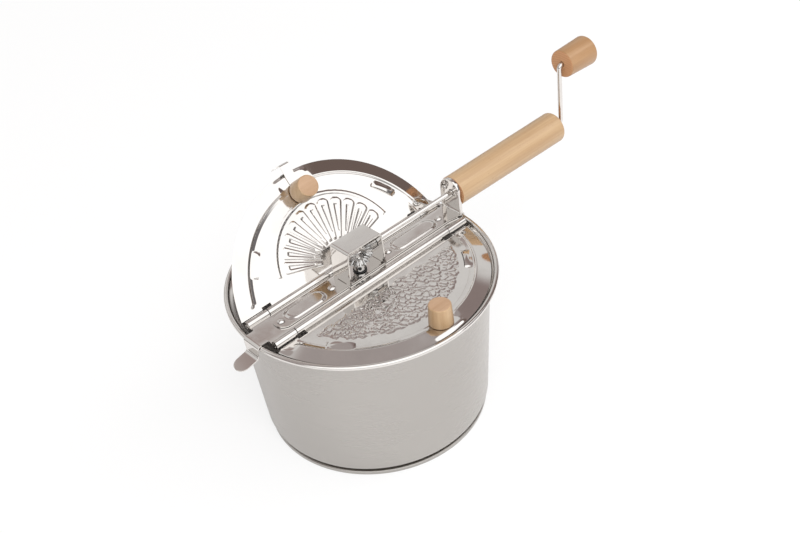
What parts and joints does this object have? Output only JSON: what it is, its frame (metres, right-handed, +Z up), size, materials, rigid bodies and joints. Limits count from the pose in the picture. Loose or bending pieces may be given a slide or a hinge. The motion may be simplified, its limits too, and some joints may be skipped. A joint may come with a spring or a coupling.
{
  "type": "stovetop popcorn popper",
  "caption": "Steel popcorn pot with a lift-off lid frame, hinged half lids, bevel-geared stirrer, wooden handle and a crank that turns the stirrer.",
  "frame": {"origin": "centre of the base plate on the surface that the pot stands on", "axes": "+X along the handle, +Z up the stirrer shaft, -Y towards the half lid that is closed"},
  "size_m": [0.4601, 0.2478, 0.2529],
  "materials": {
    "satin_steel": "fine satin stainless steel, spun in rings",
    "polished_steel": "mirror-polished stainless steel",
    "gear_metal": "plain cast and machined gear metal",
    "beech_wood": "light turned beech under a thin satin varnish",
    "black_nylon": "black nylon"
  },
  "bodies": {
    "pot_body": {"pot": "satin_steel", "base_plate": "satin_steel"},
    "lid_frame": {"bridge": "polished_steel", "handle_strap": "polished_steel", "bridge_rivet_1": "polished_steel", "bridge_rivet_2": "polished_steel", "bridge_rivet_3": "polished_steel", "bridge_rivet_4": "polished_steel", "hinge_pin_front": "polished_steel", "hinge_pin_rear": "polished_steel", "gear_bracket": "polished_steel", "handle": "beech_wood", "handle_screw_front": "polished_steel", "handle_screw_rear": "polished_steel", "shaft_bush": "black_nylon", "shaft_washer": "black_nylon"},
    "front_lid": {"lid_front": "polished_steel", "lid_knob_front": "beech_wood", "lid_knob_screw_front": "polished_steel"},
    "rear_lid": {"lid_rear": "polished_steel", "lid_knob_rear": "beech_wood", "lid_knob_screw_rear": "polished_steel", "lid_catch": "polished_steel"},
    "crank": {"crank_rod": "polished_steel", "pinion": "gear_metal", "crank_knob_retainer": "polished_steel"},
    "crank_grip": {"crank_knob": "beech_wood"},
    "stirrer": {"stirrer_shaft": "polished_steel", "driven_gear": "gear_metal", "gear_set_screw": "black_nylon", "shaft_clip": "polished_steel", "stirrer_hub": "polished_steel", "stirrer_wire": "polished_steel"}
  },
  "joints": [
    {"name": "lid_lift", "type": "slide", "parent": "pot_body", "child": "lid_frame", "axis": [0, 0, 1], "range_m": [0, 0.16]},
    {"name": "front_lid_hinge", "type": "hinge", "parent": "lid_frame", "child": "front_lid", "pos_m": [0, -0.019, 0.1525], "axis": [-1, 0, 0], "range_deg": [0, 90]},
    {"name": "rear_lid_hinge", "type": "hinge", "parent": "lid_frame", "child": "rear_lid", "pos_m": [0, 0.019, 0.1525], "axis": [1, 0, 0], "range_deg": [-47.5, 42.5]},
    {"name": "crank_turn", "type": "hinge", "parent": "lid_frame", "child": "crank", "pos_m": [0, 0, 0.1735], "axis": [1, 0, 0], "continuous": true},
    {"name": "crank_knob_spin", "type": "hinge", "parent": "crank", "child": "crank_grip", "pos_m": [0.297, 0, 0.2377], "axis": [1, 0, 0], "continuous": true},
    {"name": "stirrer_turn", "type": "hinge", "parent": "lid_frame", "child": "stirrer", "pos_m": [0, 0, 0.1735], "axis": [0, 0, 1], "continuous": true}
  ],
  "couplings": [
    {"joint": "stirrer_turn", "follows": "crank_turn", "ratio": 1}
  ]
}
